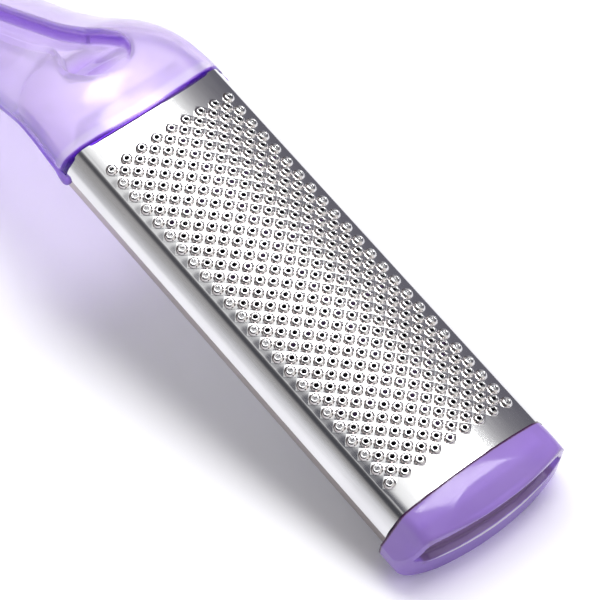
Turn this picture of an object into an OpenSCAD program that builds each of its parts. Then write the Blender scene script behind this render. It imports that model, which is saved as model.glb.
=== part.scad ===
/* [Tooth field] */
// Distance between neighbouring teeth in a row and between rows
tooth_pitch = 4.2; // [4:0.1:4.6]
// Least clear length between a coarse tooth and either end of the sheet
end_clear = 5; // [4:0.5:12]
// Least clear width between a coarse tooth and the bend at the side
side_clear = 0.1; // [0:0.1:3]
// Diameter of a coarse tooth where it leaves the sheet
tooth_base_d = 2.6; // [2:0.1:2.8]
// Diameter of a coarse tooth at its cutting rim
tooth_rim_d = 1.6; // [1.3:0.1:1.8]
// Height of a coarse tooth above the sheet
tooth_rise = 0.7; // [0.4:0.1:1]
// Diameter of the hole pierced through a coarse tooth
tooth_hole_d = 0.85; // [0.6:0.05:1]
// Diameter of a fine tooth where it leaves the sheet
fine_base_d = 1.7; // [1.4:0.1:2.2]
// Diameter of a fine tooth at its flat top
fine_rim_d = 0.9; // [0.6:0.1:1.2]
// Height of a fine tooth above the sheet
fine_rise = 0.35; // [0.2:0.05:0.5]

/* [Head] */
// Length of the metal between the end cap and the handle collar
plate_len = 110.4; // [90:0.1:140]
// Distance of the tooth field's middle from the plate's middle
field_shift = 0.3; // [0:0.1:2]
// Thickness of the stainless sheets
sheet_t = 0.6; // [0.5:0.1:1]
// Height of each sheet from the seam to the crown
half_h = 9.8; // [9:0.1:12]
// Radius of the crown across the head
crown_r = 74; // [68:1:90]
// Half the width of the coarse sheet at the seam
coarse_half_w = 22.7; // [21.5:0.1:24]
// Lean of the coarse sheet's flank from upright, in degrees
coarse_flank_angle = 19; // [14:1:22]
// Half the width of the fine sheet at the seam
fine_half_w = 22; // [21:0.1:22.6]
// Lean of the fine sheet's flank from upright, in degrees
fine_flank_angle = 4; // [2:1:8]
// Outside radius of the bend between crown and flank
bend_r = 4; // [3:0.1:5]

/* [Core] */
// Width of the side rails inside the flanks
rail_w = 4; // [3:0.5:6]
// Thickness of the ribs across the core
rib_t = 2.4; // [1.6:0.2:4]
// Number of ribbed bays along the core, each with two open windows
bays = 5; // [5:1:8]
// Length of the solid block at each end of the core
block_len = 6; // [5:1:10]
// Length of the tongue that enters the handle
handle_tongue_len = 9; // [6:1:18]
// Width of the tongue that enters the handle
handle_tongue_w = 28; // [20:1:32]
// Thickness of the tongue that enters the handle
handle_tongue_h = 10; // [8:0.5:11]
// Length of the tongue that enters the end cap
cap_tongue_len = 5; // [4:0.5:6]
// Width of the tongue that enters the end cap
cap_tongue_w = 34; // [26:1:36]
// Thickness of the tongue that enters the end cap
cap_tongue_h = 9; // [6:0.5:10]
// Clearance round each tongue in its socket
socket_gap = 0.2; // [0.1:0.05:0.4]

/* [End cap] */
// Length of the end cap on the centre line
cap_len = 11; // [10:0.5:14]
// Half the width of the end cap along its side ridge
cap_half_w = 23.9; // [23.6:0.1:25]
// Distance of the end cap's side ridge below the seam of the head
cap_ridge_drop = 1.4; // [0:0.1:2]
// Lean of the end cap's upper flank from upright, in degrees
cap_flank_angle = 27; // [20:1:30]
// Lean of the end cap's lower flank from upright, in degrees
cap_low_flank_angle = 2; // [1:1:8]
// Outside radius of the end cap's lower bend
cap_low_bend_r = 3; // [2:0.5:4]
// Height of the end cap above the crown of the sheet
cap_proud = 0.5; // [0.3:0.1:1]
// Drop of the end cap's top and bottom from the joint to the front
cap_drop = 2; // [1.5:0.1:3]
// Radius of the bow of the front face, seen from above
cap_bow_r = 72; // [60:1:120]
// Radius of the front corners, seen from above
cap_corner_r = 4.5; // [3:0.5:5]
// Height of the lens recess in the front face at its middle
lens_h = 7.4; // [5:0.2:7.6]
// Half the width of the lens recess
lens_half_w = 21.2; // [14:0.1:21.2]
// Lean of the lens recess's ends from upright, in degrees
lens_flank_angle = 30; // [20:1:40]
// Radius of the lens recess's upper corners
lens_bend_r = 3; // [2:0.5:4]
// Depth of the lens recess behind the bowed front face
lens_depth = 2.2; // [1.4:0.1:2.4]
// Thickness of the brow above the lens recess
brow_t = 0.6; // [0.5:0.1:1.2]

/* [Handle] */
// Distance by which the collar stands above the crown of the sheet
collar_proud = 0.6; // [0.4:0.1:1]
// Distance by which the collar's sides start behind its middle
collar_sweep = 1.8; // [1:0.1:2.5]
// Distance of the handle's ridge below the seam of the head
ridge_drop = 1; // [0:0.1:1.5]
// Half the width of the handle along its ridge at the collar
collar_half_w = 22.8; // [22.6:0.1:24]
// Half the width of the handle at its waist
waist_half_w = 16.7; // [15:0.1:20]
// Half the width of the handle at the grip's widest place
grip_half_w = 18.4; // [16:0.1:21]
// Height of the upper shell above the ridge in the grip
grip_top_h = 8.6; // [8:0.1:10]
// Depth of the lower shell below the ridge in the grip
grip_low_h = 8.4; // [7:0.1:10]
// Step of the lower shell inside the ridge of the upper shell
ridge_step = 1.6; // [1:0.1:2.5]
// Wall of both shells
wall = 2; // [1.6:0.1:2.4]
// Straight length of the handle behind the collar
lead_len = 11; // [8:0.5:16]
// Radius of the bend in the neck, measured at the ridge
neck_r = 20; // [18:1:30]
// Turn of the neck, in degrees
neck_turn = 38.5; // [34:0.5:44]
// Straight length of the handle behind the neck
grip_len = 66; // [58:1:74]
// Radius of the counter bend of the grip
tail_r = 150; // [120:5:200]
// Turn of the counter bend, in degrees
tail_turn = 16; // [12:1:18]
// Length over which the end of the grip rounds off
round_len = 17; // [14:1:22]
// Fullness of the upper shell's section at the collar, where 2 is an ellipse and more is squarer
collar_fullness = 2.5; // [2.4:0.1:3]
// Fullness of the lower shell's section at the collar
low_collar_fullness = 2.4; // [2.2:0.1:3]
// Fullness of the upper shell's section in the grip
upper_fullness = 1.85; // [1.7:0.05:2.4]
// Fullness of the lower shell's section in the grip
lower_fullness = 2.3; // [1.8:0.1:2.8]

/* [Handle recess] */
// Distance from the collar to the start of the recess
recess_start = 12; // [11:0.5:16]
// Half the width of the recess at its broad end
recess_broad = 7.8; // [6:0.1:8.5]
// Fullness of the broad end, where 2 is an ellipse and more is squarer
recess_fullness = 2.2; // [1.8:0.1:3]
// Distance from the start of the recess to its broadest place
recess_broad_at = 6; // [5:0.5:8]
// Distance over which the recess narrows to its slot
recess_taper_len = 8; // [6:0.5:12]
// Half the width of the slot behind the broad end
slot_half_w = 4; // [3.8:0.1:5.5]
// Half the width of the slot at its far end
slot_end_half_w = 3.4; // [3:0.1:3.8]
// Distance from the collar to the far end of the slot
recess_end = 98; // [80:1:102]
// Depth of the recess below its rim
recess_depth = 4; // [2:0.2:4.4]
// Width of the sloping wall round the recess
recess_wall_w = 1.8; // [1.2:0.1:2.5]

/* [Hidden] */

half = 1 / 2;
half_turn = 180;
quarter_turn = 90;

// How far a cut runs past what it cuts
overrun = 1;

// Sides of an arc: the collar's wide bow, the cap's curves, and a tooth
wide_arc = 384;
fine_arc = 96;
small_arc = 24;

// Display colours
steel = [0.78, 0.79, 0.81];
dark_plastic = [0.36, 0.26, 0.52];
shell_plastic = [0.72, 0.62, 0.92];
cap_plastic = [0.5, 0.38, 0.72];

// Places along the head, with zero at its middle and the seam at zero height
collar_y = plate_len / 2;
joint_y = -plate_len / 2;
front_y = joint_y - cap_len;
collar_bow_r = (collar_half_w * collar_half_w + collar_sweep * collar_sweep) / (2 * collar_sweep);

// Outlines are made of short flats: one under each tooth column, and equal steps round a bend
flat_w = tooth_pitch / 2;
bend_steps = 8;
cut_reach = 2 * (cap_half_w + overrun);

// The head's half outline, right seam to left seam: flank, bend, crown, bend, flank
function bend_start(half_w, lean, r, h, crown) =
    asin((half_w * cos(lean) - r + (crown - h) * sin(lean)) / (crown - r)) - lean;

function arch(half_w, lean, r, h, crown, inset = 0) =
    let (
        start = bend_start(half_w, lean, r, h, crown),
        flat_turn = flat_w / crown * half_turn / PI,
        flats = floor(start / flat_turn - half),
        bend_x = (crown - r) * sin(start),
        bend_z = h - crown + (crown - r) * cos(start),
        corner_r = (crown - inset) / cos(flat_turn / 2),
        right = [for (i = [0:bend_steps])
            let (a = quarter_turn - lean + (start - quarter_turn + lean) * i / bend_steps)
            [bend_x + (r - inset) * sin(a), bend_z + (r - inset) * cos(a)]],
        top = [for (k = [flats:-1:-flats - 1])
            let (a = (k + half) * flat_turn)
            [corner_r * sin(a), h - crown + corner_r * cos(a)]],
        left = [for (i = [bend_steps:-1:0]) [-right[i][0], right[i][1]]],
        seam_x = half_w - inset / cos(lean)
    )
    concat([[seam_x, 0]], right, top, left, [[-seam_x, 0]]);

function reversed(list) = [for (i = [len(list) - 1:-1:0]) list[i]];
function upside_down(list) = [for (p = list) [p[0], -p[1]]];

// Outlines of the two sheets, both drawn upwards
function coarse_arch(inset = 0) = arch(coarse_half_w, coarse_flank_angle, bend_r, half_h, crown_r, inset);
function fine_arch(inset = 0) = arch(fine_half_w, fine_flank_angle, bend_r, half_h, crown_r, inset);

// The tooth field fills the crown of the coarse sheet as far as the clear lengths let it
crown_edge = crown_r * bend_start(coarse_half_w, coarse_flank_angle, bend_r, half_h, crown_r) * PI / half_turn;
tooth_rows = floor((plate_len - 2 * field_shift - 2 * end_clear - tooth_base_d) / tooth_pitch) + 1;
tooth_cols = floor((2 * crown_edge - 2 * side_clear - tooth_base_d) / tooth_pitch) + 1;

// Room of the collar: its front face bows towards the head
module collar_room() {
    translate([0, collar_y + collar_bow_r, 0])
        cylinder(h = 2 * cut_reach, r = collar_bow_r, center = true, $fn = wide_arc);
}

// Runs a shape drawn in x and z along the head from one place to another
module along_head(from_y, to_y) {
    translate([0, to_y, 0])
        rotate([quarter_turn, 0, 0])
            linear_extrude(to_y - from_y)
                children();
}

// Places its children on the crown at every tooth, rows of one less between full rows
module on_tooth(row, col) {
    translate([0, field_shift + row * tooth_pitch, half_h - crown_r])
        rotate([0, col * tooth_pitch / crown_r * half_turn / PI, 0])
            translate([0, 0, crown_r])
                children();
}

module every_tooth() {
    for (row = [0:tooth_rows - 1], col = [0:tooth_cols - 1])
        on_tooth(row - (tooth_rows - 1) / 2, col - (tooth_cols - 1) / 2)
            children();
    for (row = [0:tooth_rows - 2], col = [0:tooth_cols - 2])
        on_tooth(row - (tooth_rows - 2) / 2, col - (tooth_cols - 2) / 2)
            children();
}

// A tooth's raised cone, rooted in the sheet
module tooth(base_d, rim_d, rise) {
    root = sheet_t * half;
    flare = (base_d - rim_d) / rise * root;
    translate([0, 0, -root])
        cylinder(h = rise + root, d1 = base_d + flare, d2 = rim_d, $fn = small_arc);
}

module coarse_plate() {
    color(steel)
        difference() {
            union() {
                along_head(joint_y, collar_y + collar_sweep)
                    polygon(concat(coarse_arch(), reversed(coarse_arch(sheet_t))));
                every_tooth()
                    tooth(tooth_base_d, tooth_rim_d, tooth_rise);
            }
            collar_room();
            every_tooth()
                cylinder(h = 2 * (tooth_rise + overrun), d = tooth_hole_d, center = true, $fn = small_arc);
        }
}

module fine_plate() {
    color(steel)
        mirror([0, 0, 1])
            difference() {
                union() {
                    along_head(joint_y, collar_y + collar_sweep)
                        polygon(concat(fine_arch(), reversed(fine_arch(sheet_t))));
                    every_tooth()
                        tooth(fine_base_d, fine_rim_d, fine_rise);
                }
                collar_room();
            }
}

// Side rails, a middle rail and ribs between the sheets, with a tongue at each end
module core() {
    window_len = (plate_len - 2 * block_len - (bays - 1) * rib_t) / bays;
    window_w = fine_half_w - sheet_t - rail_w - rib_t / 2;
    color(dark_plastic)
        union() {
            difference() {
                along_head(joint_y, collar_y + collar_sweep)
                    polygon(concat(coarse_arch(sheet_t), upside_down(reversed(fine_arch(sheet_t)))));
                collar_room();
                for (i = [0:bays - 1], x = [rib_t / 2, -rib_t / 2 - window_w])
                    translate([x, joint_y + block_len + i * (window_len + rib_t), -half_h])
                        cube([window_w, window_len, 2 * half_h]);
            }
            translate([-handle_tongue_w / 2, collar_y - block_len, -handle_tongue_h / 2])
                cube([handle_tongue_w, block_len + handle_tongue_len, handle_tongue_h]);
            translate([-cap_tongue_w / 2, joint_y - cap_tongue_len, -cap_tongue_h / 2])
                cube([cap_tongue_w, cap_tongue_len + block_len, cap_tongue_h]);
        }
}

// Side profile of the end cap in y and z: top and bottom drop in an arc towards the front
module cap_profile() {
    drop_r = (cap_len * cap_len + cap_drop * cap_drop) / (2 * cap_drop);
    top = half_h + cap_proud;
    intersection() {
        translate([joint_y, top - drop_r]) circle(r = drop_r, $fn = fine_arc);
        translate([joint_y, drop_r - top]) circle(r = drop_r, $fn = fine_arc);
        translate([front_y - overrun, -top]) square([cap_len + overrun, 2 * top]);
    }
}

// Lens with a straight lower edge, under a brow that follows the crown
module lens() {
    translate([0, half_h + cap_proud - cap_drop - brow_t - lens_h])
        polygon(arch(lens_half_w, lens_flank_angle, lens_bend_r, lens_h, crown_r));
}

// Everything above and below an outline of the cap seen from above
module plan_block(outline) {
    translate([0, joint_y, -cut_reach])
        linear_extrude(2 * cut_reach)
            polygon(upside_down(outline));
}

module end_cap() {
    cap_h = half_h + cap_proud;
    upper = arch(cap_half_w, cap_flank_angle, bend_r, cap_h + cap_ridge_drop, crown_r);
    lower = arch(cap_half_w, cap_low_flank_angle, cap_low_bend_r, cap_h - cap_ridge_drop, crown_r);
    plan = arch(cap_half_w, 0, cap_corner_r, cap_len, cap_bow_r);
    inner_plan = arch(cap_half_w, 0, cap_corner_r, cap_len, cap_bow_r, lens_depth);
    // Socket for the core's tongue
    pocket_w = cap_tongue_w + 2 * socket_gap;
    pocket_h = cap_tongue_h + 2 * socket_gap;
    pocket_len = cap_tongue_len + socket_gap;
    color(cap_plastic)
        difference() {
            intersection() {
                along_head(front_y - overrun, joint_y)
                    translate([0, -cap_ridge_drop])
                        polygon(concat(upper, upside_down(reversed(lower))));
                plan_block(plan);
                translate([-cut_reach, 0, 0])
                    rotate([quarter_turn, 0, quarter_turn])
                        linear_extrude(2 * cut_reach)
                            cap_profile();
            }
            difference() {
                along_head(front_y - overrun, joint_y - overrun)
                    lens();
                plan_block(inner_plan);
            }
            translate([-pocket_w / 2, joint_y - pocket_len, -pocket_h / 2])
                cube([pocket_w, pocket_len + overrun, pocket_h]);
        }
}

// The handle's ridge runs straight, bends down at the neck, runs straight and bends back
neck_len = neck_r * neck_turn * PI / half_turn;
tail_len = tail_r * tail_turn * PI / half_turn;
neck_end = lead_len + neck_len;
tail_start = neck_end + grip_len;
handle_len = tail_start + tail_len;
round_start = handle_len - round_len;
cavity_end = handle_len - 2 * wall;

// Where the handle's width and height stop changing, as shares of its length
waist_share = 0.4;
swell_share = 0.76;
slim_share = 0.32;
waist_at = handle_len * waist_share;
swell_at = handle_len * swell_share;
slim_at = handle_len * slim_share;

// Shares for a shell's rounded tip and for the most that the recess points may spread
tip_share = 0.15;
cavity_tip_share = 0.3;
guide_share = 0.62;
side_steps = 12;
length_steps = 36;
round_steps = 7;

// Place of the ridge at a distance behind the collar: y, z and downward turn
function ridge(s) =
    s < lead_len ? [collar_y + s, 0, 0]
    : s < neck_end ? let (a = (s - lead_len) / neck_r * half_turn / PI)
        [collar_y + lead_len + neck_r * sin(a), neck_r * (cos(a) - 1), a]
    : let (
        u = min(s, tail_start) - neck_end,
        b = max(s - tail_start, 0) / tail_r * half_turn / PI,
        a = neck_turn
    ) [
        collar_y + lead_len + neck_r * sin(a) + u * cos(a) + tail_r * (sin(a) - sin(a - b)),
        neck_r * (cos(a) - 1) - u * sin(a) - tail_r * (cos(a - b) - cos(a)),
        a - b
    ];

// A point across the handle: x across, v square to the ridge, swept back beside the collar's middle
function placed(s, x, v) =
    let (p = ridge(s), swept = collar_bow_r - sqrt(collar_bow_r * collar_bow_r - x * x))
    [x, p[0] + v * sin(p[2]) + swept * (1 - ease(s / lead_len)), p[1] + v * cos(p[2]) - ridge_drop];

function ease(t) = let (c = min(max(t, 0), 1)) c * c * (3 - 2 * c);
function blend(a, b, t) = a + (b - a) * ease(t);
function rounded(t, tip) = sqrt(max(1 - pow(max(t, 0), 2), pow(tip, 2)));

function ridge_half_w(s) =
    s < waist_at ? blend(collar_half_w, waist_half_w, (s - lead_len * half) / (waist_at - lead_len * half))
    : blend(waist_half_w, grip_half_w, (s - waist_at) / (swell_at - waist_at));
function shell_h(s, collar_h, grip_h) = blend(collar_h, grip_h, (s - lead_len) / (slim_at - lead_len));

// Half the width of the recess, broad behind its blunt end and then a slot
function recess_half_w(s) =
    let (
        t = (s - recess_start) / recess_broad_at,
        slot_t = (s - recess_start - recess_broad_at) / (recess_end - recess_start - recess_broad_at),
        narrow = slot_half_w + (slot_end_half_w - slot_half_w) * slot_t,
        end_t = (s - recess_end + slot_end_half_w) / slot_end_half_w
    )
    s <= recess_start || s >= recess_end ? 0
    : t < 1 ? recess_broad * pow(1 - pow(1 - t, recess_fullness), 1 / recess_fullness)
    : blend(recess_broad, narrow, (s - recess_start - recess_broad_at) / recess_taper_len) * rounded(end_t, 0);

function recess_fall(s, x, widen) =
    let (a = recess_half_w(s))
    a == 0 ? 0
    : recess_depth * ease((s - recess_start) / recess_taper_len)
        * ease((a + widen + recess_wall_w * half - abs(x)) / recess_wall_w);

// One section of a shell: points across it, closest together over the recess
function section(s, half_w, h, full, widen, dip, down) =
    let (
        guide = min(max(recess_half_w(s), slot_end_half_w) + widen + recess_wall_w, half_w * guide_share),
        start = asin(pow(guide / half_w, full / 2))
    )
    [for (i = [0:2 * side_steps])
        let (
            t = 1 - i / side_steps,
            side = sign(t),
            inner = abs(t) <= half,
            a = start + (quarter_turn - start) * (2 * abs(t) - 1),
            x = inner ? guide * 2 * t : side * half_w * pow(sin(a), 2 / full),
            v = h * pow(max(1 - pow(abs(x) / half_w, full), 0), 1 / full)
        )
        placed(s, x, abs(t) == 1 ? 0 : down * (v - dip * recess_fall(s, x, widen)))];

// Stations along the outside, and along the cavity, which ends sooner
outer_stations = concat(
    [for (i = [0:length_steps - 1]) round_start * i / length_steps],
    [for (i = [0:round_steps]) round_start + round_len * sin(quarter_turn * i / round_steps)]
);
function cavity_station(s) =
    s < slim_at ? s : slim_at + (s - slim_at) * (cavity_end - slim_at) / (handle_len - slim_at);

// All points of a shell: for each station the outside, then the cavity
function shell_points(collar_h, grip_h, collar_full, grip_full, step, dip, down) =
    [for (s = outer_stations)
        let (
            tip = rounded((s - round_start) / round_len, tip_share),
            c = cavity_station(s),
            hollow = rounded((c - cavity_end + round_len) / round_len, cavity_tip_share),
            outside = section(s, (ridge_half_w(s) - step) * tip, shell_h(s, collar_h, grip_h) * tip,
                blend(collar_full, grip_full, s / neck_end), 0, dip, down),
            inside = section(c, (ridge_half_w(c) - step - wall) * hollow,
                (shell_h(c, collar_h, grip_h) - wall) * hollow,
                blend(collar_full, grip_full, c / neck_end), wall * half, dip, down)
        )
        for (p = concat(outside, inside)) p];

upper_points = shell_points(half_h + collar_proud + ridge_drop, grip_top_h,
    collar_fullness, upper_fullness, 0, 1, 1);
lower_points = shell_points(half_h + collar_proud - ridge_drop, grip_low_h,
    low_collar_fullness, lower_fullness, ridge_step, 0, -1);

// Triangles between two rows of points, or none where the row is a single face
function strip(a, b) =
    [for (i = [0:len(a) - 2]) each [[a[i], a[i + 1], b[i + 1]], [a[i], b[i + 1], b[i]]]];

// Faces of a shell: outside, cavity, the parting edge round both, and the two ends
function shell_faces() =
    let (
        row = 2 * side_steps + 1,
        last = len(outer_stations) - 1,
        out = function (k) [for (i = [0:row - 1]) 2 * row * k + i],
        inn = function (k) [for (i = [row - 1:-1:0]) 2 * row * k + row + i]
    )
    concat(
        [for (k = [0:last - 1]) each strip(out(k), out(k + 1))],
        [for (k = [0:last - 1]) each strip(inn(k), inn(k + 1))],
        [for (k = [0:last - 1]) each strip([inn(k)[row - 1], out(k)[0]], [inn(k + 1)[row - 1], out(k + 1)[0]])],
        [for (k = [0:last - 1]) each strip([out(k)[row - 1], inn(k)[0]], [out(k + 1)[row - 1], inn(k + 1)[0]])],
        strip(reversed(out(0)), inn(0)),
        [out(last), inn(last)],
        [[inn(last)[row - 1], out(last)[0], out(last)[row - 1], inn(last)[0]]]
    );

module handle_upper() {
    color(shell_plastic)
        polyhedron(upper_points, shell_faces());
}

module handle_lower() {
    color(shell_plastic)
        polyhedron(lower_points, [for (f = shell_faces()) reversed(f)]);
}

// The file lies on the end cap's lower front edge and on the underside of the grip
sole = half_h + cap_proud - cap_drop;
rest_tilt = max([for (p = lower_points) if (p[1] > collar_y + neck_end) atan((-sole - p[2]) / (p[1] - front_y))]);

// The foot of the frame is on the table, under the middle of the file's box
function lying_y(p) = p[1] * cos(rest_tilt) - p[2] * sin(rest_tilt);
front_reach = front_y * cos(rest_tilt) - sole * sin(rest_tilt);
grip_reach = max([for (p = upper_points) lying_y(p)]);

module at_rest() {
    translate([0, -(front_reach + grip_reach) / 2, sole * cos(rest_tilt) - front_y * sin(rest_tilt)])
        rotate([rest_tilt, 0, 0])
            children();
}

at_rest() {
    coarse_plate();
    fine_plate();
    core();
    handle_upper();
    handle_lower();
    end_cap();
}
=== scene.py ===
"""A foot file: its looks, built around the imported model.

Lengths are millimetres in the head frame unless a comment says otherwise. There x runs across the head,
y along it towards the handle, and z up from the seam between the two sheets.
"""
import math

import bmesh
import bpy
import numpy as np
from mathutils import Euler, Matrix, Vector


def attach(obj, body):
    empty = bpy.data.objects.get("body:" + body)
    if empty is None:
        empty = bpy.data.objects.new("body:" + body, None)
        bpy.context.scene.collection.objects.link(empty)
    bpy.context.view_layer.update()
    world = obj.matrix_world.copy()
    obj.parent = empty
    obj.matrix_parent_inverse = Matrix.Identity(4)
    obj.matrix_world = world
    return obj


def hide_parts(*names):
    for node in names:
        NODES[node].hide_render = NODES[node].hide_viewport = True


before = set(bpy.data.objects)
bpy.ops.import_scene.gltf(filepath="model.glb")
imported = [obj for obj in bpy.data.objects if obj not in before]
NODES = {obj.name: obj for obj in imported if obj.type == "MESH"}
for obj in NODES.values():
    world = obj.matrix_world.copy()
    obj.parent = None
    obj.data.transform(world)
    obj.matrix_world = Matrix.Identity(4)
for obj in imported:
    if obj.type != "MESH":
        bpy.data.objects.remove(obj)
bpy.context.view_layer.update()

MM = 0.001

# The file rests tilted, and these three values place the head frame on the table.
TILT = math.radians(15.7499)
SHIFT = -56.2872
LIFT = 25.9577

PLATE_LEN = 110.4            # the sheets between the cap and the handle
COLLAR_Y = PLATE_LEN / 2     # the front edge of the handle's collar at its middle
JOINT_Y = -PLATE_LEN / 2     # where the cap begins
HALF_H = 9.8                 # from the seam to the top of the crown
CROWN_R = 74.0
SHEET_T = 0.6
PITCH = 4.2                  # from tooth to tooth, along and across
ROWS, COLS = 24, 9           # the full rows of teeth, with a row of one less between each two
FIELD_SHIFT = 0.3            # from the middle of the sheets to the middle of the teeth


def lying(points):
    """Head frame in millimetres to the resting frame in metres."""
    p = np.asarray(points, float)
    c, s = math.cos(TILT), math.sin(TILT)
    out = np.empty_like(p)
    out[..., 0] = p[..., 0]
    out[..., 1] = p[..., 1] * c - p[..., 2] * s + SHIFT
    out[..., 2] = p[..., 1] * s + p[..., 2] * c + LIFT
    return out * MM


def head_frame(points):
    """The resting frame in metres to the head frame in millimetres."""
    p = np.asarray(points, float) / MM
    c, s = math.cos(TILT), math.sin(TILT)
    y, z = p[:, 1] - SHIFT, p[:, 2] - LIFT
    return np.stack([p[:, 0], y * c + z * s, z * c - y * s], -1)


def ease(t):
    """A smooth step from 0 to 1."""
    c = np.clip(t, 0, 1)
    return c * c * (3 - 2 * c)


def blend(a, b, t):
    return a + (b - a) * ease(t)


def within(value, low, high, soft):
    """One between two limits and zero past them, with soft ends."""
    return ease((value - low) / soft) * ease((high - value) / soft)


# ---------------------------------------------------------------- materials

NOISE_LOW, NOISE_HIGH = 0.3, 0.7         # most of a noise texture lies between these
WHITE = (1, 1, 1)


def material(name):
    mat = bpy.data.materials.new(name)
    mat.use_nodes = True
    tree = mat.node_tree
    return mat, tree, tree.nodes["Principled BSDF"]


def fill(tree, n, inputs):
    """Links the inputs that are sockets and sets the others on the node itself."""
    for key, value in inputs.items():
        if isinstance(value, bpy.types.NodeSocket):
            tree.links.new(value, n.inputs[key])
        else:
            n.inputs[key].default_value = value


def node(tree, kind, inputs=None, **attrs):
    n = tree.nodes.new(kind)
    for key, value in attrs.items():
        setattr(n, key, value)
    fill(tree, n, inputs or {})
    return n


def noise(tree, at, scale, detail):
    return node(tree, "ShaderNodeTexNoise", {"Vector": at, "Scale": scale, "Detail": detail}).outputs["Fac"]


def ramp(tree, fac, stops):
    n = node(tree, "ShaderNodeValToRGB", {"Fac": fac})
    els = n.color_ramp.elements
    els[0].position, els[0].color = stops[0][0], (*stops[0][1], 1)
    els[1].position, els[1].color = stops[-1][0], (*stops[-1][1], 1)
    for pos, col in stops[1:-1]:
        els.new(pos).color = (*col, 1)
    return n.outputs["Color"]


def cloudy(tree, fac, tints):
    """A tint that varies between two, deep and light, with a noise."""
    return ramp(tree, fac, [(NOISE_LOW, tints[0]), (NOISE_HIGH, tints[1])])


def span(tree, value, low, high, to=(0.0, 1.0), **attrs):
    """A value taken from one range to another and kept inside it."""
    return node(tree, "ShaderNodeMapRange", {"Value": value, "From Min": low, "From Max": high,
                                             "To Min": to[0], "To Max": to[1]}, **attrs).outputs["Result"]


def mixed(tree, share, first, second):
    """Two colours, each a socket or three numbers, mixed by a share."""
    first, second = (c if isinstance(c, bpy.types.NodeSocket) else (*c, 1) for c in (first, second))
    return node(tree, "ShaderNodeMix", {0: share, 6: first, 7: second}, data_type="RGBA").outputs[2]


def maths(tree, operation, first, second):
    return node(tree, "ShaderNodeMath", {0: first, 1: second}, operation=operation).outputs[0]


def bumped(tree, height, strength, distance):
    """A bump of at most a distance in metres."""
    return node(tree, "ShaderNodeBump", {"Height": height, "Strength": strength,
                                         "Distance": distance}).outputs["Normal"]


def head_coords(tree):
    """Object coordinates in metres, turned so that y runs along the head."""
    at = node(tree, "ShaderNodeTexCoord").outputs["Object"]
    return node(tree, "ShaderNodeMapping", {"Vector": at, "Rotation": (-TILT, 0, 0)}).outputs["Vector"]


def toned(tree):
    """The mesh attribute of painted shade, where a surface looks darker, or below zero of painted highlight,
    where it looks lighter.
    """
    return node(tree, "ShaderNodeAttribute", attribute_name="painted_light").outputs["Fac"]


STEEL_TINTS = ((0.76, 0.76, 0.77), (0.83, 0.83, 0.84))
STEEL_SHADE = (0.30, 0.24, 0.225)        # painted shade on the walls of the teeth and on the fine sheet's flank
STEEL_ROUGH = (0.10, 0.17)
BRUSHING = (9000, 120, 9000)             # scale of its lines, fine across the head and long along it


def stainless():
    mat, tree, bsdf = material("stainless")
    at = head_coords(tree)
    brushed = node(tree, "ShaderNodeMapping", {"Vector": at, "Scale": BRUSHING}).outputs["Vector"]
    lines = noise(tree, brushed, scale=1.0, detail=3.0)
    tint = cloudy(tree, noise(tree, at, scale=60.0, detail=3.0), STEEL_TINTS)
    # the base colour turns to the painted shade where the attribute says
    fill(tree, bsdf, {"Base Color": mixed(tree, toned(tree), tint, STEEL_SHADE), "Metallic": 1.0,
                      "Normal": bumped(tree, lines, strength=0.08, distance=0.00002),
                      "Roughness": span(tree, lines, NOISE_LOW, NOISE_HIGH, STEEL_ROUGH)})
    return mat


PASSING = (0.97, 0.97, 1.0)              # tint of the light that goes through to the table
HALF_TONE = 0.5                          # tone of the first colour of painted shade; below zero the tone paints a highlight towards white
SMOOTHER, ROUGHER = 0.7, 1.4             # shares of a plastic's roughness between which it varies


def plastic(name, tints, shaded, absorb, density, rough, transmission, ior=1.49, level=0.5, passes=0.5):
    """Moulded plastic, turned by its painted tone to the first and then the second colour of painted shade,
    or to white as a painted highlight.
    """
    mat, tree, bsdf = material(name)
    at = head_coords(tree)
    cloud, swirl = noise(tree, at, scale=45.0, detail=2.0), noise(tree, at, scale=160.0, detail=3.0)
    tone = toned(tree)
    # painted highlight below zero of the tone, painted shade above it
    tint = mixed(tree, span(tree, tone, 0.0, -HALF_TONE), cloudy(tree, cloud, tints), WHITE)
    tint = mixed(tree, span(tree, tone, 0.0, HALF_TONE), tint, shaded[0])
    tint = mixed(tree, span(tree, tone, HALF_TONE, 1.0), tint, shaded[1])
    rough_range = (rough * SMOOTHER, rough * ROUGHER)
    fill(tree, bsdf, {"Base Color": tint, "Normal": bumped(tree, cloud, strength=0.35, distance=0.001),
                      "Roughness": span(tree, swirl, NOISE_LOW, NOISE_HIGH, rough_range), "IOR": ior,
                      "Transmission Weight": transmission, "Specular IOR Level": level})
    inside = node(tree, "ShaderNodeVolumeAbsorption", {"Color": (*absorb, 1), "Density": density})
    # a share of the lamp's light goes straight through, so the cast shadow is pale
    through = node(tree, "ShaderNodeBsdfTransparent", {"Color": (*PASSING, 1)})
    share = maths(tree, "MULTIPLY", node(tree, "ShaderNodeLightPath").outputs["Is Shadow Ray"], passes)
    both = node(tree, "ShaderNodeMixShader", {0: share, 1: bsdf.outputs[0], 2: through.outputs[0]})
    fill(tree, tree.nodes["Material Output"], {"Surface": both.outputs[0], "Volume": inside.outputs[0]})
    return mat


# painted shade: the core is dark between the sheets, for the shade seen through the teeth's holes
CORE_SHADE = (0.10, 0.06, 0.13)
CORE_CLEAR = 0.85                        # transmission of the tongue in the handle
CORE_SOFT = 1.0                          # over this length it turns clear


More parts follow.
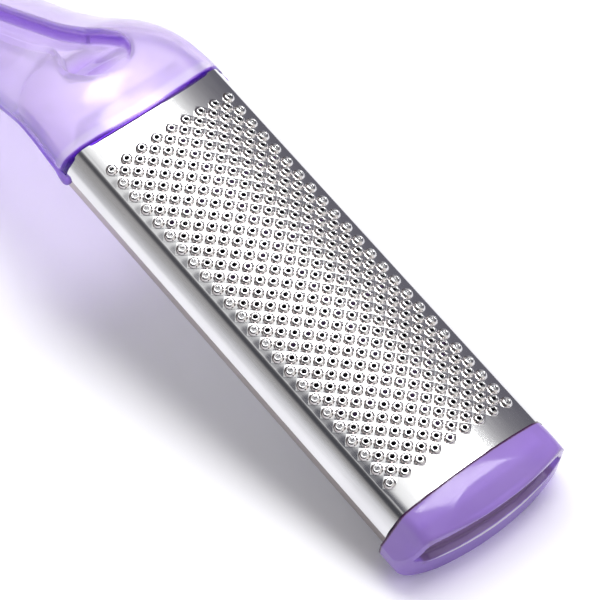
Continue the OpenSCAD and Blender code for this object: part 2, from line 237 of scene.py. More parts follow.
def frame_plastic():
    """The core's plastic, painted dark between the sheets for the shade inside the head, and clear in the
    handle.
    """
    mat = plastic("core_plastic", ((0.84, 0.75, 1.0), (0.88, 0.80, 1.0)), VIOLET, absorb=(0.50, 0.25, 0.95),
                  density=15.0, rough=0.3, transmission=CORE_CLEAR, ior=1.08, passes=0.6)
    tree = mat.node_tree
    bsdf = tree.nodes["Principled BSDF"]
    along = node(tree, "ShaderNodeSeparateXYZ", {"Vector": head_coords(tree)}).outputs["Y"]
    collar = COLLAR_Y + SHIFT * math.cos(TILT) + LIFT * math.sin(TILT)
    clear = span(tree, along, collar * MM, (collar + CORE_SOFT) * MM)
    tint = mixed(tree, clear, CORE_SHADE, bsdf.inputs["Base Color"].links[0].from_socket)
    fill(tree, bsdf, {"Base Color": tint, "Transmission Weight": maths(tree, "MULTIPLY", clear, CORE_CLEAR)})
    return mat


VIOLET = ((0.40, 0.17, 0.84), (0.06, 0.01, 0.28))        # colours of painted shade on the clear plastics
BROWN = ((0.26, 0.17, 0.33), (0.07, 0.02, 0.08))         # and on the cap
STEEL = stainless()
LILAC = plastic("lilac_plastic", ((0.84, 0.76, 0.97), (0.92, 0.85, 1.0)), VIOLET, absorb=(0.50, 0.24, 0.84),
                density=60.0, rough=0.13, transmission=0.72, ior=1.36, level=0.4, passes=0.70)
# a deeper violet than the shells: painted shade of the ridge seen edge-on, and the plastic's depth of colour
BEAD = plastic("bead_plastic", ((0.44, 0.26, 0.88), (0.50, 0.32, 0.92)), VIOLET, absorb=(0.42, 0.12, 0.93),
               density=90.0, rough=0.15, transmission=0.5)
PURPLE = plastic("purple_plastic", ((0.33, 0.20, 0.64), (0.41, 0.27, 0.72)), BROWN,
                 absorb=(0.50, 0.25, 0.90), density=40.0, rough=0.13, transmission=0.22, ior=1.4,
                 passes=0.75)
CORE = frame_plastic()


# ---------------------------------------------------------------- meshes

def set_tone(mesh, values):
    mesh.attributes.new("painted_light", "FLOAT", "POINT").data.foreach_set("value", np.asarray(values, np.float32))


def dress(obj, mat, replaced):
    """Gives a piece its material and its place in the frame."""
    obj.data.materials.clear()
    obj.data.materials.append(mat)
    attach(obj, "root")
    if replaced:
        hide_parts(replaced)


class Mesh:
    """Collects points, tones and faces of one piece."""

    def __init__(self):
        self.points, self.tones, self.faces, self.count = [], [], [], 0

    def grid(self, points, close=False, flip=False, tone=0.0):
        """Faces between the rows and columns of an array of points. Returns its first point's number."""
        rows, cols = points.shape[:2]
        first = self.count
        self.points.append(points.reshape(-1, 3))
        self.tones.append(np.zeros(rows * cols) + np.ravel(tone))
        self.count += rows * cols
        for i in range(rows - 1):
            for j in range(cols if close else cols - 1):
                a, b = first + i * cols + j, first + i * cols + (j + 1) % cols
                quad = (a, b, b + cols, a + cols)
                self.faces.append(quad[::-1] if flip else quad)
        return first

    def piece(self, name, mat, replaced, merge, sharp):
        """The piece itself. Points closer than merge are joined, edges steeper than sharp degrees stay."""
        mesh = bpy.data.meshes.new(name)
        mesh.from_pydata([tuple(p) for p in lying(np.concatenate(self.points))], [], self.faces)
        mesh.update()
        set_tone(mesh, np.concatenate(self.tones))
        bm = bmesh.new()
        bm.from_mesh(mesh)
        bmesh.ops.remove_doubles(bm, verts=bm.verts, dist=merge * MM)
        bmesh.ops.dissolve_degenerate(bm, dist=merge * MM / 4, edges=bm.edges)
        bmesh.ops.recalc_face_normals(bm, faces=bm.faces)
        bm.to_mesh(mesh)
        bm.free()
        mesh.shade_smooth()
        mesh.set_sharp_from_angle(angle=math.radians(sharp))
        obj = bpy.data.objects.new(name, mesh)
        bpy.context.scene.collection.objects.link(obj)
        dress(obj, mat, replaced)


# ---------------------------------------------------------------- sheets

class Arch:
    """Outline of a sheet across the head, by distance along it from the middle of the crown."""

    SAMPLES = 1200

    def __init__(self, knots, down):
        """Each knot is a distance from the middle and the surface's slope there in degrees."""
        u, angle = np.array(knots, float).T
        self.end, self.down = u[-1], down
        self.u = np.linspace(0, self.end, self.SAMPLES)
        self.angle = np.radians(np.interp(self.u, u, angle))
        middle = (self.angle[1:] + self.angle[:-1]) / 2
        self.x = np.concatenate([[0], np.cumsum(np.cos(middle) * self.u[1])])
        self.z = HALF_H - np.concatenate([[0], np.cumsum(np.sin(middle) * self.u[1])])

    def at(self, u, v, off):
        """Points at distance u across, v along and off above the sheet's outer surface."""
        u, v, off = np.broadcast_arrays(np.asarray(u, float), np.asarray(v, float), np.asarray(off, float))
        a = np.abs(u)
        angle = np.interp(a, self.u, self.angle)
        x = np.interp(a, self.u, self.x) + off * np.sin(angle)
        z = np.interp(a, self.u, self.z) + off * np.cos(angle)
        return np.stack([np.sign(u) * x, v, -z if self.down else z], -1)


COLLAR_SWEEP = 1.8           # the collar's sides lie this far behind its middle
COLLAR_HALF_W = 22.8
COLLAR_BOW_R = (COLLAR_HALF_W ** 2 + COLLAR_SWEEP ** 2) / (2 * COLLAR_SWEEP)


def swept(x):
    """How far the collar's front edge lies behind its middle."""
    return COLLAR_BOW_R - np.sqrt(COLLAR_BOW_R ** 2 - np.minimum(np.abs(x), COLLAR_BOW_R) ** 2)


SIDES = 24                   # points round a tooth
TURN = np.arange(SIDES) * 2 * math.pi / SIDES
COS, SIN = np.cos(TURN), np.sin(TURN)
CELL = (PITCH / 2) / (np.abs(COS) + np.abs(SIN))         # reach of a tooth's diamond cell
HALF_TURN = SIDES // 2 + 1
BORDER_U = (CELL * COS)[:HALF_TURN][::-1]                # upper half of a cell's border
BORDER_V = (CELL * SIN)[:HALF_TURN][::-1]
FIELD_HALF_W, FIELD_HALF_LEN = COLS / 2 * PITCH, ROWS / 2 * PITCH
SHEET_START = JOINT_Y + 0.12
SHEET_IN = 0.5               # the sheets run this far into the collar
FLANK_STEPS = 26
LIP_STEPS, INNER_STEPS = 7, 4            # round the edge at the seam, and on the inner face
LIP_BACK = 5                 # the inner face reaches this far from the edge
DIGITS = 6                   # decimals to which two places along the sheet are told apart

WALL_SHADE = 0.65             # painted shade on the wall round a tooth
WALL_FROM, WALL_TO = 0.98, 1.44
WALL_SOFT, WALL_END_SOFT = 0.2, 0.06
SHADED_WAY = (-0.34, 0.94)    # across and along the head, the side on which the walls keep their whole painted shade
WALL_FADE = 0.95             # share of the painted shade that is lost on the other side, which catches the light
# painted shade on the fine sheet's flank, which reflects the shadowed table
FINE_FLANK_SHADE = 0.8


def centre(i, count):
    """Place of tooth i of so many, from the middle of its row or column."""
    return (i - (count - 1) / 2) * PITCH


def cells(m, arch, rings, pierced):
    """A cell of the sheet round every tooth. Each ring is a radius and a height."""
    r, h = (np.array(column)[:, None] for column in zip(*rings))
    u, v = np.vstack([r * COS, CELL * COS]), np.vstack([r * SIN, CELL * SIN])
    off = np.vstack([np.repeat(h, SIDES, 1), np.zeros(SIDES)])
    # painted shade on the walls round each tooth, weaker on the side that catches the light
    wall = ease((r - WALL_FROM) / WALL_SOFT) * ease((WALL_TO - r) / WALL_END_SOFT) * WALL_SHADE
    wall = wall * (1 + WALL_FADE * np.minimum(SIN * SHADED_WAY[1] + COS * SHADED_WAY[0], 0))
    tone = np.vstack([wall * pierced, np.zeros(SIDES)])
    for few in (0, 1):
        for i in range(ROWS - few):
            for j in range(COLS - few):
                cu, cv = centre(j, COLS - few), FIELD_SHIFT + centre(i, ROWS - few)
                first = m.grid(arch.at(cu + u, cv + v, off), close=True, tone=tone)
                if not pierced:
                    m.faces.append(tuple(range(first, first + SIDES)))


def end_strip(m, arch, end):
    """The plain sheet from the zigzag border of the cells to one end."""
    middle, edge = FIELD_SHIFT + end * (ROWS - 1) / 2 * PITCH, FIELD_SHIFT + end * FIELD_HALF_LEN
    us = []
    for j in range(COLS):
        u = centre(j, COLS) + BORDER_U
        m.grid(np.stack([arch.at(u, middle + end * BORDER_V, 0), arch.at(u, edge, 0)]))
        us += list(u[1:] if j else u)
    us = np.array(us)
    x = arch.at(us, 0, 0)[:, 0]
    stop = COLLAR_Y + swept(x) + SHEET_IN if end > 0 else np.full_like(x, SHEET_START)
    m.grid(np.stack([arch.at(us, edge, 0), arch.at(us, stop, 0)]))


def side_strip(m, arch, side, tone):
    """The plain sheet from the cells over the bend and flank to the edge, and round it to the inner face."""
    rows = [np.array([FIELD_SHIFT - FIELD_HALF_LEN, FIELD_SHIFT + FIELD_HALF_LEN])]
    cu = side * (COLS - 2) / 2 * PITCH
    for i in range(ROWS - 1):
        v = FIELD_SHIFT + centre(i, ROWS - 1) + BORDER_U
        m.grid(np.stack([arch.at(cu + side * BORDER_V, v, 0), arch.at(side * FIELD_HALF_W, v, 0)]))
        rows.append(v)
    u = np.linspace(FIELD_HALF_W, arch.end, FLANK_STEPS)
    stop = COLLAR_Y + swept(arch.at(u, 0, 0)[:, 0]) + SHEET_IN
    rows = np.unique(np.round(np.concatenate(rows), DIGITS))
    v = np.vstack([np.full_like(u, SHEET_START)] + [np.full_like(u, t) for t in rows] + [stop])

    def line(u, off):
        """A line along the edge, at distance u across and off above the outer surface."""
        return arch.at(np.full(len(v), side * u), v[:, -1], off)

    rim, half_t = arch.end - SHEET_T / 2, SHEET_T / 2
    outer = arch.at(side * u[None, :], v, 0)
    outer[:, -1] = line(rim, 0)
    lip = [line(rim + half_t * math.sin(t), -half_t * (1 - math.cos(t)))
           for t in np.linspace(0, math.pi, LIP_STEPS)[1:]]
    inner = [line(t, -SHEET_T) for t in np.linspace(rim, arch.end - LIP_BACK, INNER_STEPS)[1:]]
    m.grid(np.concatenate([outer, np.stack(lip + inner, 1)], 1), tone=tone)


def sheet(name, arch, rings, pierced, node_name):
    """A pressed sheet with its teeth."""
    m = Mesh()
    cells(m, arch, rings, pierced)
    for end in (1, -1):
        end_strip(m, arch, end)
    for side in (1, -1):
        side_strip(m, arch, side, 0.0 if pierced else FINE_FLANK_SHADE)
    m.piece(name, STEEL, node_name, merge=0.002, sharp=60)


COARSE = Arch([(0, 0), (17, 13.16), (18.5, 18), (19.3, 33), (20, 45), (20.5, 55.5), (21, 58), (21.5, 59),
               (22.2, 59.8), (23, 60.6), (24, 61.4), (24.5, 63.5), (25.1, 74), (27.36, 84)], False)
FINE = Arch([(0, 0), (18.97, 14.69), (23.95, 86), (27.75, 86)], True)
COARSE_RINGS = [(0.42, -0.8), (0.42, -0.1), (0.45, 0.25), (0.50, 0.50), (0.57, 0.62), (0.65, 0.66),
                (0.76, 0.65), (0.87, 0.615), (0.97, 0.56), (1.06, 0.49), (1.14, 0.40), (1.21, 0.30),
                (1.27, 0.19), (1.32, 0.10), (1.37, 0.035), (1.44, 0.0)]
FINE_RINGS = [(0.30, 0.35), (0.42, 0.33), (0.52, 0.26), (0.64, 0.13), (0.76, 0.04), (0.88, 0.0), (1.3, 0.0)]
sheet("coarse_sheet", COARSE, COARSE_RINGS, True, "coarse_plate")
sheet("fine_sheet", FINE, FINE_RINGS, False, "fine_plate")


# ---------------------------------------------------------------- handle

# s is the distance behind the collar along the ridge, where the two shells meet.
PROUD = 0.6                  # the collar stands this far above the sheets
RIDGE_DROP = 1.0             # from the seam of the sheets down to the ridge
WAIST_W, GRIP_W = 16.7, 18.4             # half widths
TOP_H, LOW_H = 8.6, 8.4                  # heights of the grip above and below the ridge
STEP = 1.6                   # the lower shell is narrower on each side
WALL = 2.0
LEAD = 11.0                  # straight, before the neck
NECK_R, NECK_TURN = 20.0, math.radians(38.5)
GRIP = 66.0
TAIL_R, TAIL_TURN = 150.0, math.radians(16)
ROUND = 17.0                 # length of the rounded tail
COLLAR_F, LOW_COLLAR_F = 2.5, 2.4        # fullness of the sections, where 2 is an ellipse
UPPER_F, LOWER_F = 1.85, 2.3
NECK_END = LEAD + NECK_R * NECK_TURN
TAIL_START = NECK_END + GRIP
HANDLE_LEN = TAIL_START + TAIL_R * TAIL_TURN
WAIST_AT, SWELL_AT, SLIM_AT = 0.4 * HANDLE_LEN, 0.76 * HANDLE_LEN, 0.32 * HANDLE_LEN

RECESS_START, RECESS_END = 12.0, 98.0
RECESS_BROAD, RECESS_BROAD_AT = 7.8, 6.0         # half width, and how far behind the start
RECESS_FULL = 1.75           # how blunt the broad end is
RECESS_TAPER = 8.0           # over this length it narrows to the slot and reaches its depth
SLOT_W, SLOT_END_W = 4.0, 3.4            # half widths
RECESS_DEPTH, RECESS_WALL = 4.0, 1.8     # depth, and width of the sloping wall


def ridge(s):
    """Place of the ridge and its downward turn at s."""
    if s < LEAD:
        return COLLAR_Y + s, 0.0, 0.0
    if s < NECK_END:
        a = (s - LEAD) / NECK_R
        return COLLAR_Y + LEAD + NECK_R * math.sin(a), NECK_R * (math.cos(a) - 1), a
    u, b, a = min(s, TAIL_START) - NECK_END, max(s - TAIL_START, 0) / TAIL_R, NECK_TURN
    y = COLLAR_Y + LEAD + NECK_R * math.sin(a) + u * math.cos(a) + TAIL_R * (math.sin(a) - math.sin(a - b))
    z = NECK_R * (math.cos(a) - 1) - u * math.sin(a) - TAIL_R * (math.cos(a - b) - math.cos(a))
    return y, z, a - b


def collar_bow(s, x):
    """The bow of the collar's front edge, which fades along the lead."""
    return swept(x) * (1 - float(ease(s / LEAD)))


def half_w(s):
    if s < WAIST_AT:
        return float(blend(COLLAR_HALF_W, WAIST_W, (s - LEAD / 2) / (WAIST_AT - LEAD / 2)))
    return float(blend(WAIST_W, GRIP_W, (s - WAIST_AT) / (SWELL_AT - WAIST_AT)))


def recess_w(s):
    """Half the width of the recess, which is nothing past its ends."""
    if s <= RECESS_START or s >= RECESS_END:
        return 0.0
    t = (s - RECESS_START) / RECESS_BROAD_AT
    if t < 1:
        return RECESS_BROAD * (1 - (1 - t) ** RECESS_FULL) ** (1 / RECESS_FULL)
    past = s - RECESS_START - RECESS_BROAD_AT
    slot = SLOT_W + (SLOT_END_W - SLOT_W) * past / (RECESS_END - RECESS_START - RECESS_BROAD_AT)
    end = max((s - RECESS_END + SLOT_END_W) / SLOT_END_W, 0)
    return float(blend(RECESS_BROAD, slot, past / RECESS_TAPER)) * math.sqrt(max(1 - end * end, 0))


RIM_W, RIM_W_MORE, RIM_SOFT = 0.9, 1.5, 0.4      # painted shade: the dark line at the collar's front edge, wider at the sides
JOINT_HIGHLIGHT, HIGHLIGHT_W, HIGHLIGHT_FAR_SOFT, HIGHLIGHT_NEAR_SOFT = 0.45, 2.8, 1.2, 0.3    # the painted highlight band behind it
EDGE_SHADE, EDGE_FROM = 0.5, 0.93                 # painted shade next to the ridge, by share of the section


def collar_tone(s, x, w):
    """Painted shade and highlight of a shell along the collar's front edge and the ridge."""
    rim = RIM_W + RIM_W_MORE * (x / w) ** 2 - s
    tone = ease(rim / RIM_SOFT)
    tone = tone - JOINT_HIGHLIGHT * ease((rim + HIGHLIGHT_W) / HIGHLIGHT_FAR_SOFT) * ease(-rim / HIGHLIGHT_NEAR_SOFT)
    return tone + EDGE_SHADE * ease((np.abs(SHARES) - EDGE_FROM) / (1 - EDGE_FROM))


RIGHT_WALL_SHADE, LEFT_WALL_SHADE, WALL_HIGHLIGHT = 1.7, 0.7, 1.6        # painted shade of the recess's walls, and the painted highlight of its light wall
WALL_START, LIGHT_START = 4, 1.5         # they begin over these lengths, along it and across it
BROAD_LEN, BROAD_SOFT = 26, 12           # its broad part, where the left wall has the painted highlight
FLOOR_SHADE, FLOOR_LEN = 0.22, 13         # painted shade on its floor next to the start,
FLOOR_START, FLOOR_END = 3, 8            # the lengths over which that begins and ends,
FLOOR_SIDE, FLOOR_SIDE_SOFT = 4, 6       # and how far it reaches to the right
LEAST_TONE = 0.02


def recess_tone(s, x, share, tone):
    """Adds the painted shade of the recess's walls and floor and the painted highlight of its light wall,
    where share is how deep a point lies in it.
    """
    at, wall = s - RECESS_START, share * (1 - share)
    broad = ease((BROAD_LEN - at) / BROAD_SOFT)
    dark = ease(at / WALL_START) * np.where(x > 0, RIGHT_WALL_SHADE, LEFT_WALL_SHADE * (1 - broad)) * wall
    dark = dark + (FLOOR_SHADE * share * ease(at / FLOOR_START) * ease((FLOOR_LEN - at) / FLOOR_END) *
                   ease((FLOOR_SIDE - x) / FLOOR_SIDE_SOFT))
    tone = tone - WALL_HIGHLIGHT * broad * ease(-x / LIGHT_START) * wall
    return np.where(dark > LEAST_TONE, np.maximum(tone, dark + np.minimum(tone, 0)), tone)


# The points of a section as shares, from its right side to its left, with the inner half on the recess
SIDE_POINTS, INNER_POINTS = 15, 61
RIGHT_SIDE = np.linspace(1, 0.5, SIDE_POINTS)[:-1]
SHARES = np.concatenate([RIGHT_SIDE, np.linspace(0.5, -0.5, INNER_POINTS), -RIGHT_SIDE[::-1]])
GUIDE_MOST = 0.62            # share of the half width that the points on the recess may take
LEAST_V = 0.03               # keeps the two shells apart at the ridge


def section(s, w, h, full, widen, way):
    """One section of a shell, with each point's painted shade or highlight. way is 1 for the upper shell and
    -1 for the lower.
    """
    recess = recess_w(s)
    guide = min(max(recess, SLOT_END_W) + widen + RECESS_WALL, w * GUIDE_MOST)
    begin = math.asin((guide / w) ** (full / 2))
    a = begin + (math.pi / 2 - begin) * (2 * np.abs(SHARES) - 1)
    side = np.sign(SHARES) * w * np.abs(np.sin(a)) ** (2 / full)
    x = np.where(np.abs(SHARES) <= 0.5, guide * 2 * SHARES, side)
    v = h * np.maximum(1 - (np.abs(x) / w) ** full, 0) ** (1 / full)
    tone = collar_tone(s, x, w)
    if recess and way > 0:
        share = ease((recess + widen + RECESS_WALL / 2 - np.abs(x)) / RECESS_WALL)
        v = v - RECESS_DEPTH * ease((s - RECESS_START) / RECESS_TAPER) * share
        tone = recess_tone(s, x, share, tone)
    v[0] = v[-1] = 0
    v = way * np.maximum(v, LEAST_V)
    y, z, turn = ridge(s)
    return np.stack([x, y + v * math.sin(turn) + collar_bow(s, x), z + v * math.cos(turn) - RIDGE_DROP,
                     np.clip(tone, -1, 1)], -1)


FRONT_ROUND = 0.35           # radius of the front edge
FINE_END = RECESS_START + 16             # the sections lie closer together before this
STATIONS = (5, 70, 110, 16)              # in the front edge, before that place, on the grip and in the tail
SINK = 0.7                   # the upper shell lies this much lower behind the collar
SINK_FROM, SINK_SOFT, SINK_TO, SINK_OUT = 3.5, 7.5, 14, 14   # where that begins and ends, with its slopes
TIP_LEAST, HOLLOW_LEAST = 0.02, 0.2      # least shares of the full section at the tail


def rounded(s, end, least):
    """Share of the full section that is left near a rounded end."""
    return math.sqrt(max(1 - max((s - end + ROUND) / ROUND, 0) ** 2, least ** 2))


def shell(name, node_name, way, step, collar, grip):
    """One shell of the handle. collar and grip each give a height from the ridge and a fullness."""
    edge, fine, plain, tail = STATIONS
    stations = np.concatenate([FRONT_ROUND * (1 - np.cos(np.linspace(0, math.pi / 2, edge)[:-1])),
                               np.linspace(FRONT_ROUND, FINE_END, fine)[:-1],
                               np.linspace(FINE_END, HANDLE_LEN - ROUND, plain)[:-1],
                               HANDLE_LEN - ROUND + ROUND * np.sin(np.linspace(0, math.pi / 2, tail))])
    cavity_end = HANDLE_LEN - 2 * WALL
    shrink = (cavity_end - SLIM_AT) / (HANDLE_LEN - SLIM_AT)

    def height(s):
        return float(blend(collar[0], grip[0], (s - LEAD) / (SLIM_AT - LEAD)))

    def fullness(s):
        return float(blend(collar[1], grip[1], s / NECK_END))

    outs, ins = [], []
    for s in stations:
        tip = rounded(s, HANDLE_LEN, TIP_LEAST)
        inset = FRONT_ROUND - math.sqrt(FRONT_ROUND ** 2 - max(FRONT_ROUND - s, 0) ** 2)
        sunk = ease((s - SINK_FROM) / SINK_SOFT) * (1 - ease((s - SINK_TO) / SINK_OUT))
        sink = SINK * (way > 0) * float(sunk)
        outs.append(section(s, (half_w(s) - step - inset) * tip, (height(s) - inset - sink) * tip,
                            fullness(s), 0, way))
        c = s if s < SLIM_AT else SLIM_AT + (s - SLIM_AT) * shrink
        hollow = rounded(c, cavity_end, HOLLOW_LEAST)
        ins.append(section(c, (half_w(c) - step - WALL) * hollow, (height(c) - WALL) * hollow, fullness(c),
                           WALL / 2, way))
    loop = np.concatenate([outs, np.array(ins)[:, ::-1]], 1)
    m = Mesh()
    m.grid(loop[..., :3], close=True, tone=loop[..., 3])
    n = len(SHARES)
    for base in (0, (len(stations) - 1) * 2 * n):        # the front edge and the tail's end
        for j in range(n - 1):
            m.faces.append((base + j, base + j + 1, base + 2 * n - 2 - j, base + 2 * n - 1 - j))
    m.piece(name, LILAC, node_name, merge=0.001, sharp=50)


shell("upper_shell", "handle_upper", way=1, step=0,
      collar=(HALF_H + PROUD + RIDGE_DROP, COLLAR_F), grip=(TOP_H, UPPER_F))
shell("lower_shell", "handle_lower", way=-1, step=STEP,
      collar=(HALF_H + PROUD - RIDGE_DROP, LOW_COLLAR_F), grip=(LOW_H, LOWER_F))

NODES["core"].data.materials.clear()
NODES["core"].data.materials.append(CORE)

BEAD_SIDES = 16
BEAD_TURN = np.arange(BEAD_SIDES) * 2 * math.pi / BEAD_SIDES
BALL_R, BALL_LEAST_R, BALL_RINGS = 1.25, 0.02, 5         # the ball end at the collar
BEAD_START, BEAD_FINE_END = -0.4, 24
BEAD_FINE_STEPS, BEAD_STEPS = 34, 60
BEAD_END = HANDLE_LEN - ROUND + 3
NECK_BEAD_R, NECK_BEAD_LEN = 0.7, 5      # its radius behind the ball, reached over this length
GRIP_BEAD_R, GRIP_BEAD_FROM, GRIP_BEAD_LEN = 0.9, 20, 30
LAST_BEAD_R, LAST_BEAD_LEN = 0.3, 14     # where it sinks into the shell
BEAD_IN, BEAD_IN_LATER, BEAD_IN_LEN = 0.2, 0.45, 10      # how far it lies inside the shell's side
BEAD_IN_LAST = 0.9


def bead(name, side):
    """A round bead along one side of the ridge, with a ball end at the collar."""
    stations = np.concatenate([np.linspace(BEAD_START, BEAD_FINE_END, BEAD_FINE_STEPS),
                               np.linspace(BEAD_FINE_END, BEAD_END, BEAD_STEPS)[1:]])
    rings = []
    y, z, turn = ridge(BEAD_START)
    x = half_w(BEAD_START) - BEAD_IN
    for k in range(BALL_RINGS):
        a = math.pi / 2 * k / BALL_RINGS
        r = BALL_R * math.sin(a) + BALL_LEAST_R
        rings.append(np.stack([side * (x + r * np.cos(BEAD_TURN)),
                               np.full(BEAD_SIDES, y + (swept(x) - BALL_R * math.cos(a))),
                               z - RIDGE_DROP + r * np.sin(BEAD_TURN)], -1))
    for s in stations:
        y, z, turn = ridge(s)
        last = (s - BEAD_END + LAST_BEAD_LEN) / LAST_BEAD_LEN
        r = float(blend(BALL_R, NECK_BEAD_R, (s - BEAD_START) / NECK_BEAD_LEN))
        r = float(blend(r, GRIP_BEAD_R, (s - GRIP_BEAD_FROM) / GRIP_BEAD_LEN))
        r = float(blend(r, LAST_BEAD_R, last))
        inside = float(blend(BEAD_IN, BEAD_IN_LATER, s / BEAD_IN_LEN))
        x = half_w(s) - inside - BEAD_IN_LAST * float(ease(last))
        v = r * np.sin(BEAD_TURN)
        rings.append(np.stack([side * (x + r * np.cos(BEAD_TURN)), y + collar_bow(s, x) + v * math.sin(turn),
                               z - RIDGE_DROP + v * math.cos(turn)], -1))
    m = Mesh()
    m.grid(np.array(rings), close=True, flip=side > 0)
    m.faces.append(tuple(range(BEAD_SIDES)))
    m.faces.append(tuple((len(rings) - 1) * BEAD_SIDES + i for i in range(BEAD_SIDES)))
    m.piece(name, BEAD, None, merge=0.0005, sharp=60)


bead("ridge_bead_left", -1)
bead("ridge_bead_right", 1)


# ---------------------------------------------------------------- end cap

CAP_VOXEL = 0.22             # size of the copy's faces
CAP_FRONT = 11.2             # from the joint to the middle of the bowed front
CAP_BOW_R, CAP_BOW_MOST = 84.0, 6
CAP_CROWN = 3.2              # four times the rise of the top face
FACE_FROM, FACE_SOFT = 4.5, 3            # height of the top face
LENS_TOP, LENS_H = 7.7, 7.4              # of the recess in the front
LENS_SINK = 2.6              # its lower rim lies this much lower than the solid's
LENS_HALF_W, LENS_SIDE = 22.5, 6
SINK_HIGH, SINK_HIGH_SOFT = 6, 6         # the heights between which the front is drawn down
SINK_LOW, SINK_LOW_SOFT = -8.5, 8
SINK_AHEAD, SINK_AHEAD_SOFT = 0.4, 0.15  # shares of the way from the joint to the front
BROAD_HIGH, BROAD_HIGH_SOFT = 6.0, 2     # the faces that are smoothed broadly: their height,
BROAD_AHEAD_SOFT = 0.15                  # their fading to the front as a share of the way,
BROAD_BACK, BROAD_BACK_SOFT = 0.6, 1.0   # and their start in front of the joint
INSIDE_LOW, INSIDE_HIGH, INSIDE_SOFT = -3.1, 7.9, 0.4    # painted shade, brown, on the walls of the recess
INSIDE_W, INSIDE_W_SOFT = 19.3, 1.2
INSIDE_AHEAD, INSIDE_AHEAD_SOFT = 0.3, 0.6               # behind the front
INSIDE_BACK, INSIDE_BACK_SOFT = 5, 0.5                   # in front of the joint
JOINT_LINE, JOINT_SOFT = 0.7, 0.25       # painted shade: the dark line in the joint next to the sheet
RIM_LINE, RIM_DEEP, RIM_LINE_SOFT = 0.45, 0.7, 0.3       # half width and depth of the painted highlights on the rims
RIM_HALF_W, RIM_SIDE = 20, 3
RIM_HIGHLIGHT = 0.45
CAP_BROAD, CAP_SOFTEN = 120, 4           # rounds of smoothing of the broad faces and of the whole


def baked(obj):
    """The object's mesh with its modifiers applied."""
    graph = bpy.context.evaluated_depsgraph_get()
    mesh = bpy.data.meshes.new_from_object(obj.evaluated_get(graph))
    obj.modifiers.clear()
    old = obj.data
    obj.data = mesh
    bpy.data.meshes.remove(old)
    return mesh


def cap():
    """The end cap, with soft edges and a crowned top, from a finely divided copy of the solid."""
    obj = bpy.data.objects.new("cap_shell", NODES["end_cap"].data.copy())
    bpy.context.scene.collection.objects.link(obj)
    even = obj.modifiers.new("even", "REMESH")
    even.mode, even.voxel_size = "VOXEL", CAP_VOXEL * MM
    mesh = baked(obj)
    co = np.empty(len(mesh.vertices) * 3)
    mesh.vertices.foreach_get("co", co)
    x, y, z = head_frame(co.reshape(-1, 3)).T
    out = np.abs(x)
    front = CAP_FRONT - np.minimum(x ** 2 / (2 * CAP_BOW_R), CAP_BOW_MOST)
    t = np.clip((JOINT_Y - y) / front, 0, 1)     # 0 at the joint and 1 at the front
    z = z + CAP_CROWN * t * (1 - t) * ease((np.abs(z) - FACE_FROM) / FACE_SOFT) * (z > 0)
    sunk = LENS_SINK * ease((LENS_HALF_W - out) / LENS_SIDE)
    lower = np.minimum(ease((SINK_HIGH - z) / SINK_HIGH_SOFT), np.clip((z - SINK_LOW) / SINK_LOW_SOFT, 0, 1))
    z = z - sunk * lower * ease((t - SINK_AHEAD) / SINK_AHEAD_SOFT)
    mesh.vertices.foreach_set("co", lying(np.stack([x, y, z], -1)).ravel())

    broad = obj.vertex_groups.new(name="broad")
    weight = ease((np.abs(z) - BROAD_HIGH) / BROAD_HIGH_SOFT) * ease((1 - t) / BROAD_AHEAD_SOFT)
    weight *= ease((JOINT_Y - BROAD_BACK - y) / BROAD_BACK_SOFT)
    for i in np.nonzero(weight > 0.01)[0]:
        broad.add([int(i)], float(weight[i]), "REPLACE")

    # painted shade inside the front recess, painted shade in the joint, and painted highlights on the
    # recess's rims
    ahead = y - JOINT_Y + front                  # how far behind the bowed front
    inside = ease((ahead - INSIDE_AHEAD) / INSIDE_AHEAD_SOFT)
    inside *= ease((JOINT_Y - INSIDE_BACK - y) / INSIDE_BACK_SOFT)
    inside *= within(z, INSIDE_LOW, INSIDE_HIGH, INSIDE_SOFT) * ease((INSIDE_W - out) / INSIDE_W_SOFT)
    joint = ease((y - JOINT_Y + JOINT_LINE) / JOINT_SOFT)
    brow, sill = LENS_TOP - x ** 2 / (2 * CROWN_R), LENS_TOP - LENS_H - sunk
    nearer = np.minimum(np.abs(z - brow), np.abs(z - sill))
    rims = ease((RIM_LINE - nearer) / RIM_LINE_SOFT) * ease((RIM_DEEP - np.abs(ahead)) / RIM_LINE_SOFT)
    rims *= ease((RIM_HALF_W - out) / RIM_SIDE)
    # painted shade inside the recess and in the joint, with painted highlights along the rims
    set_tone(mesh, np.maximum(HALF_TONE * inside * (1 - rims), joint) - RIM_HIGHLIGHT * rims)

    wide = obj.modifiers.new("wide", "SMOOTH")
    wide.factor, wide.iterations, wide.vertex_group = 0.5, CAP_BROAD, "broad"
    soften = obj.modifiers.new("soften", "SMOOTH")
    soften.factor, soften.iterations = 0.5, CAP_SOFTEN
    baked(obj).shade_smooth()
    dress(obj, PURPLE, "end_cap")


cap()


# ---------------------------------------------------------------- stage, in metres

FLOOR_HALF = 3


def floor():
    mesh = bpy.data.meshes.new("floor")
    corners = [(x * FLOOR_HALF, y * FLOOR_HALF, 0) for x, y in ((-1, -1), (1, -1), (1, 1), (-1, 1))]
    mesh.from_pydata(corners, [], [(0, 1, 2, 3)])
    obj = bpy.data.objects.new("floor", mesh)
    bpy.context.scene.collection.objects.link(obj)
    mat, tree, bsdf = material("floor_white")
    speckle = noise(tree, node(tree, "ShaderNodeTexCoord").outputs["Object"], scale=40.0, detail=2.0)
    fill(tree, bsdf, {"Base Color": cloudy(tree, speckle, ((0.955, 0.95, 0.985), (0.97, 0.965, 0.99))),
                      "Roughness": 0.9, "Specular IOR Level": 0.1})
    mesh.materials.append(mat)


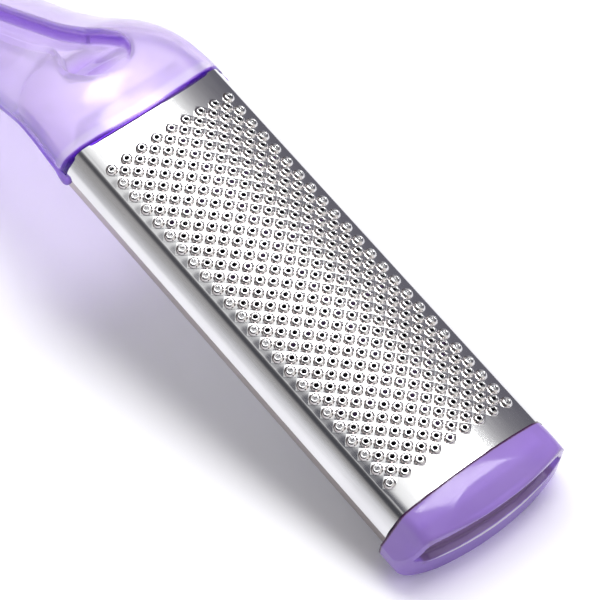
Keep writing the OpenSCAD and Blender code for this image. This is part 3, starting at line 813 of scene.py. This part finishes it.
def lamp(name, place, aim, size, power):
    data = bpy.data.lights.new(name, "AREA")
    data.shape = "RECTANGLE"
    data.size, data.size_y = size
    data.energy = power
    obj = bpy.data.objects.new(name, data)
    obj.location = place
    obj.rotation_euler = (Vector(aim) - Vector(place)).to_track_quat("-Z", "Y").to_euler()
    bpy.context.scene.collection.objects.link(obj)


floor()
lamp("overhead", place=(0.30, 0.10, 1.15), aim=(0.05, 0, 0), size=(0.75, 0.46), power=11.5)

SKY = [(0.0, (0.11, 0.085, 0.08)), (0.45, (0.12, 0.10, 0.10)), (0.62, (0.24, 0.23, 0.24)),
       (0.77, (0.50, 0.49, 0.50)), (0.87, (0.90, 0.90, 0.90)), (1.0, WHITE)]
# Soft round cards of the studio: direction, angles between which each one fades, and colour
CARDS = [((0.97, 0.15, 0.20), 22, 52, (0.15, 0.145, 0.175)),      # dark, low on the right
         ((-0.93, 0.36, 0.05), 10, 35, (0.38, 0.37, 0.37)),       # grey wall on the left
         ((0.25, -0.93, 0.25), 20, 48, (0.85, 0.81, 0.77)),       # pale wall in front
         ((-0.85, -0.10, 0.52), 14, 38, (0.07, 0.07, 0.08)),      # dark, on the left
         ((-0.28, -0.08, 0.957), 6, 14, (0.08, 0.08, 0.10))]      # the camera over the table
AMBIENT = (0.47, 0.47, 0.48)             # what the world lights the object with


def studio():
    """A world whose cards show to camera, glossy and transmission rays. It lights the object plainly."""
    world = bpy.data.worlds.new("studio")
    bpy.context.scene.world = world
    world.use_nodes = True
    tree = world.node_tree
    look = node(tree, "ShaderNodeTexCoord").outputs["Generated"]
    sky = ramp(tree, node(tree, "ShaderNodeSeparateXYZ", {"Vector": look}).outputs["Z"], SKY)
    for towards, inner, outer, colour in CARDS:
        facing = node(tree, "ShaderNodeVectorMath", {0: look, 1: tuple(Vector(towards).normalized())},
                      operation="DOT_PRODUCT").outputs["Value"]
        share = span(tree, facing, math.cos(math.radians(outer)), math.cos(math.radians(inner)),
                     interpolation_type="SMOOTHSTEP")
        sky = mixed(tree, share, sky, colour)
    path = node(tree, "ShaderNodeLightPath").outputs
    seen = maths(tree, "MAXIMUM", path["Is Camera Ray"], path["Is Glossy Ray"])
    seen = maths(tree, "MAXIMUM", seen, path["Is Transmission Ray"])
    fill(tree, tree.nodes["Background"], {"Color": mixed(tree, seen, AMBIENT, sky), "Strength": 1.0})


studio()

cam_data = bpy.data.cameras.new("camera")
cam_data.sensor_width = 36.0
cam_data.lens = 209.853
cam_data.clip_start = 0.05
cam = bpy.data.objects.new("camera", cam_data)
cam.location = (-0.302712, -0.481741, 0.597596)
cam.rotation_euler = Euler([math.radians(a) for a in (42.3342, 3.8542, -39.5702)])
bpy.context.scene.collection.objects.link(cam)
bpy.context.scene.camera = cam
bpy.context.scene.view_settings.view_transform = "Standard"
